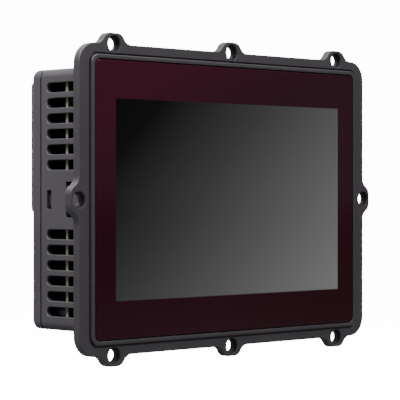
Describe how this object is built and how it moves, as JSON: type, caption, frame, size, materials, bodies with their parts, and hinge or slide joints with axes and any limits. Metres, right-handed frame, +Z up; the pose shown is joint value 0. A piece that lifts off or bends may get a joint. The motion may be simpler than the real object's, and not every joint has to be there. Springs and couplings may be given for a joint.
{
  "type": "hmi touch panel",
  "caption": "Panel-mounted operator terminal with a wide touch display in a dark eared bezel, a vented housing behind it and sockets along its underside.",
  "frame": {"origin": "middle of the flange's back plane, which seats on the face of the cabinet door", "axes": "+X to the operator's right, +Z up, and -Y out of the screen towards the operator"},
  "size_m": [0.2046, 0.0503, 0.1504],
  "materials": {
    "bezel_plastic": "fine moulded texture",
    "housing_plastic": "fine moulded texture",
    "black_plastic": "satin",
    "grey_plastic": "satin",
    "printed_glass": "polished glass, dark print behind",
    "rubber": "matt",
    "steel": "plated",
    "brass": "turned",
    "circuit_board": "satin solder mask",
    "terminal_green": "satin",
    "anodised_aluminium": "black anodised",
    "ferrite": "matt",
    "cream_plastic": "satin",
    "ribbon_film": "satin film",
    "label_foil": "satin"
  },
  "bodies": {
    "panel": {"backlight_unit": "steel", "battery_holder": "black_plastic", "board_screw_1": "steel", "board_screw_2": "steel", "board_screw_3": "steel", "board_screw_4": "steel", "bracket_screw_1": "steel", "bracket_screw_2": "steel", "bracket_screw_3": "steel", "bracket_screw_4": "steel", "buzzer": "black_plastic", "capacitor_1": "steel", "capacitor_2": "steel", "card_slot": "steel", "case_screw_1": "steel", "case_screw_2": "steel", "case_screw_3": "steel", "case_screw_4": "steel", "coin_cell": "steel", "display_connector": "cream_plastic", "display_ribbon": "ribbon_film", "ethernet_port_1": "steel", "ethernet_port_2": "steel", "front_bezel": "bezel_plastic", "glass_adhesive": "rubber", "heat_sink": "anodised_aluminium", "inductor": "ferrite", "jack_screw_1": "steel", "jack_screw_2": "steel", "label_plate": "label_foil", "lcd_bracket": "steel", "lcd_panel": "black_plastic", "main_board": "circuit_board", "main_housing": "housing_plastic", "memory_chip": "black_plastic", "panel_gasket": "rubber", "power_header": "terminal_green", "processor": "black_plastic", "rear_cover": "housing_plastic", "reset_switch": "black_plastic", "serial_port": "steel", "standoff_1": "brass", "standoff_2": "brass", "standoff_3": "brass", "standoff_4": "brass", "threaded_insert_1": "brass", "threaded_insert_2": "brass", "threaded_insert_3": "brass", "threaded_insert_4": "brass", "touch_glass": "printed_glass", "touch_sensor": "printed_glass", "usb_port": "steel"},
    "plug": {"power_plug": "terminal_green", "terminal_screw_1": "steel", "terminal_screw_2": "steel", "terminal_screw_3": "steel"},
    "card": {"memory_card": "black_plastic"},
    "button": {"reset_button": "grey_plastic"}
  },
  "joints": [
    {"name": "plug_pull", "type": "slide", "parent": "panel", "child": "plug", "axis": [0, 0, -1], "range_m": [0, 0.014]},
    {"name": "card_pull", "type": "slide", "parent": "panel", "child": "card", "axis": [0, 0, -1], "range_m": [0, 0.034]},
    {"name": "reset_press", "type": "slide", "parent": "panel", "child": "button", "axis": [0, 0, 1], "range_m": [0, 0.0008], "stiffness_N_per_m": 500}
  ]
}
